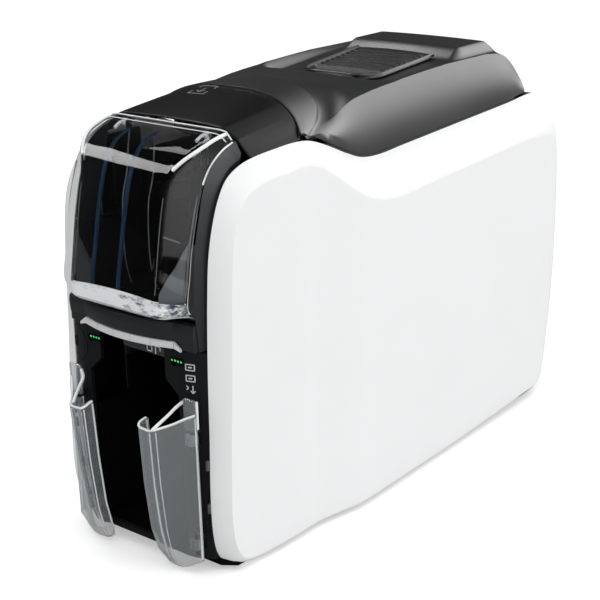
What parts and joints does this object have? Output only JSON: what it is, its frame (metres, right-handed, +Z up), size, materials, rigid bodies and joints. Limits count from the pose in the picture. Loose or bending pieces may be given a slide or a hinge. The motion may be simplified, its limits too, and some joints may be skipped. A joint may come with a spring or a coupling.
{
  "type": "id card printer",
  "caption": "Narrow desktop card printer: tall white side panels, dark hinged top cover with a ribbed latch pad, clear hopper door over a card tray with two clear wings.",
  "frame": {"origin": "middle of the box that the printer fills, on the surface it stands on", "axes": "+Z up, +Y from the front to the back, +X to the right as seen from the front"},
  "size_m": [0.158, 0.398, 0.275],
  "materials": {
    "white_shell": "fine satin",
    "charcoal_plastic": "satin",
    "black_plastic": "semi gloss",
    "cover_plastic": "satin",
    "black_chassis_plastic": "matte",
    "grey_plastic": "matte",
    "clear_plastic": "clear polished",
    "rubber": "matte",
    "roller_rubber": "matte",
    "cleaning_rubber": "tacky",
    "steel": "brushed",
    "plated_steel": "zinc plated",
    "chrome_steel": "ground",
    "gear_plastic": "natural",
    "bush_plastic": "natural",
    "brass": "turned",
    "motor_can": "satin",
    "board": "solder mask",
    "parts_black": "matte",
    "ribbon_dark": "film",
    "led_green": "lens",
    "head_ceramic": "ceramic and aluminium"
  },
  "bodies": {
    "housing": {"base_tray": "black_chassis_plastic", "rubber_feet": "rubber", "left_side_panel": "white_shell", "right_side_panel": "white_shell", "rear_panel": "charcoal_plastic", "rear_sockets": "steel", "fan_frame": "parts_black", "main_board": "board", "board_parts": "parts_black", "left_chassis_plate": "plated_steel", "right_chassis_plate": "plated_steel", "chassis_tie_rods": "steel", "roller_bushes": "bush_plastic", "drive_motor": "motor_can", "card_hopper": "black_chassis_plastic", "hopper_gussets": "grey_plastic", "card_weight_pin": "steel", "hopper_top_panel": "black_plastic", "front_bezel": "charcoal_plastic", "door_hinge_pins": "steel", "lower_front_plate": "charcoal_plastic", "feed_slot_tab": "grey_plastic", "light_bar": "clear_plastic", "status_leds": "led_green", "button_switch": "parts_black", "output_tray": "black_chassis_plastic", "wing_hinge_pins": "steel", "ribbon_film": "ribbon_dark", "latch_keeper": "steel", "cover_hinge_pin": "steel", "cover_hinge_brackets": "plated_steel", "cover_seal": "rubber"},
    "cover": {"top_cover": "cover_plastic", "printhead": "head_ceramic", "printhead_carrier": "plated_steel"},
    "cover_latch": {"cover_latch_pad": "black_plastic", "latch_hook": "steel"},
    "hopper_door": {"hopper_door": "clear_plastic"},
    "left_tray_wing": {"left_tray_wing": "clear_plastic"},
    "right_tray_wing": {"right_tray_wing": "clear_plastic"},
    "power_button": {"power_button": "charcoal_plastic"},
    "card_weight": {"card_weight": "black_chassis_plastic"},
    "pick_drive": {"pick_shaft": "steel", "pick_roller": "roller_rubber"},
    "feed_drive": {"feed_shaft": "steel", "feed_roller": "roller_rubber"},
    "platen_drive": {"platen_shaft": "steel", "platen_roller": "roller_rubber"},
    "exit_drive": {"exit_shaft": "steel", "exit_roller": "roller_rubber"},
    "front_idler": {"front_idler_gear": "gear_plastic"},
    "middle_idler": {"middle_idler_gear": "gear_plastic"},
    "rear_idler": {"rear_idler_gear": "gear_plastic"},
    "motor_rotor": {"motor_pinion": "brass"},
    "feed_pinch": {"feed_pinch_roller": "chrome_steel"},
    "exit_pinch": {"exit_pinch_roller": "chrome_steel"},
    "cleaner": {"cleaning_roller": "cleaning_rubber"},
    "ribbon_supply": {"ribbon_supply_spool": "ribbon_dark"},
    "ribbon_takeup": {"ribbon_takeup_spool": "ribbon_dark"},
    "fan_rotor": {"fan_rotor": "parts_black"}
  },
  "joints": [
    {"name": "cover_hinge", "type": "hinge", "parent": "housing", "child": "cover", "pos_m": [0, 0.163, 0.24], "axis": [-1, 0, 0], "range_deg": [0, 75]},
    {"name": "cover_latch_press", "type": "slide", "parent": "cover", "child": "cover_latch", "axis": [0, 0, -1], "range_m": [0, 0.002], "stiffness_N_per_m": 800, "springref_m": -0.001},
    {"name": "hopper_door_hinge", "type": "hinge", "parent": "housing", "child": "hopper_door", "pos_m": [0, -0.1416, 0.2582], "axis": [-1, 0, 0], "range_deg": [0, 70]},
    {"name": "left_wing_hinge", "type": "hinge", "parent": "housing", "child": "left_tray_wing", "pos_m": [-0.0476, -0.1808, 0.05], "axis": [0, 0, -1], "range_deg": [0, 60]},
    {"name": "right_wing_hinge", "type": "hinge", "parent": "housing", "child": "right_tray_wing", "pos_m": [0.0476, -0.1808, 0.05], "axis": [0, 0, 1], "range_deg": [0, 60]},
    {"name": "power_button_press", "type": "slide", "parent": "housing", "child": "power_button", "axis": [0, 1, 0], "range_m": [0, 0.0012], "stiffness_N_per_m": 600, "springref_m": -0.0005},
    {"name": "card_weight_pivot", "type": "hinge", "parent": "housing", "child": "card_weight", "pos_m": [0, -0.081, 0.205], "axis": [1, 0, 0], "range_deg": [0, 50]},
    {"name": "platen_spin", "type": "hinge", "parent": "housing", "child": "platen_drive", "pos_m": [0, -0.005, 0.155], "axis": [1, 0, 0], "continuous": true},
    {"name": "pick_spin", "type": "hinge", "parent": "housing", "child": "pick_drive", "pos_m": [0, -0.125, 0.155], "axis": [1, 0, 0], "continuous": true},
    {"name": "feed_spin", "type": "hinge", "parent": "housing", "child": "feed_drive", "pos_m": [0, -0.065, 0.155], "axis": [1, 0, 0], "continuous": true},
    {"name": "exit_spin", "type": "hinge", "parent": "housing", "child": "exit_drive", "pos_m": [0, 0.055, 0.155], "axis": [1, 0, 0], "continuous": true},
    {"name": "front_idler_spin", "type": "hinge", "parent": "housing", "child": "front_idler", "pos_m": [0.045, -0.095, 0.155], "axis": [1, 0, 0], "continuous": true},
    {"name": "middle_idler_spin", "type": "hinge", "parent": "housing", "child": "middle_idler", "pos_m": [0.045, -0.035, 0.155], "axis": [1, 0, 0], "continuous": true},
    {"name": "rear_idler_spin", "type": "hinge", "parent": "housing", "child": "rear_idler", "pos_m": [0.045, 0.025, 0.155], "axis": [1, 0, 0], "continuous": true},
    {"name": "motor_spin", "type": "hinge", "parent": "housing", "child": "motor_rotor", "pos_m": [0.045, 0.025, 0.131], "axis": [1, 0, 0], "continuous": true},
    {"name": "feed_pinch_spin", "type": "hinge", "parent": "housing", "child": "feed_pinch", "pos_m": [0, -0.065, 0.1698], "axis": [1, 0, 0], "continuous": true},
    {"name": "exit_pinch_spin", "type": "hinge", "parent": "housing", "child": "exit_pinch", "pos_m": [0, 0.055, 0.1698], "axis": [1, 0, 0], "continuous": true},
    {"name": "cleaner_spin", "type": "hinge", "parent": "housing", "child": "cleaner", "pos_m": [0, -0.079, 0.1703], "axis": [1, 0, 0], "continuous": true},
    {"name": "supply_spin", "type": "hinge", "parent": "housing", "child": "ribbon_supply", "pos_m": [0, 0.051, 0.201], "axis": [1, 0, 0], "continuous": true},
    {"name": "takeup_spin", "type": "hinge", "parent": "housing", "child": "ribbon_takeup", "pos_m": [0, -0.055, 0.201], "axis": [1, 0, 0], "continuous": true},
    {"name": "fan_spin", "type": "hinge", "parent": "housing", "child": "fan_rotor", "pos_m": [0.018, 0.18, 0.15], "axis": [0, 1, 0], "continuous": true}
  ],
  "couplings": [
    {"joint": "pick_spin", "follows": "platen_spin", "ratio": 1},
    {"joint": "feed_spin", "follows": "platen_spin", "ratio": 1},
    {"joint": "exit_spin", "follows": "platen_spin", "ratio": 1},
    {"joint": "front_idler_spin", "follows": "platen_spin", "ratio": -0.66667},
    {"joint": "middle_idler_spin", "follows": "platen_spin", "ratio": -0.66667},
    {"joint": "rear_idler_spin", "follows": "platen_spin", "ratio": -0.66667},
    {"joint": "motor_spin", "follows": "platen_spin", "ratio": 2},
    {"joint": "feed_pinch_spin", "follows": "platen_spin", "ratio": -1.3333},
    {"joint": "exit_pinch_spin", "follows": "platen_spin", "ratio": -1.3333},
    {"joint": "takeup_spin", "follows": "supply_spin", "ratio": 1.4167}
  ]
}
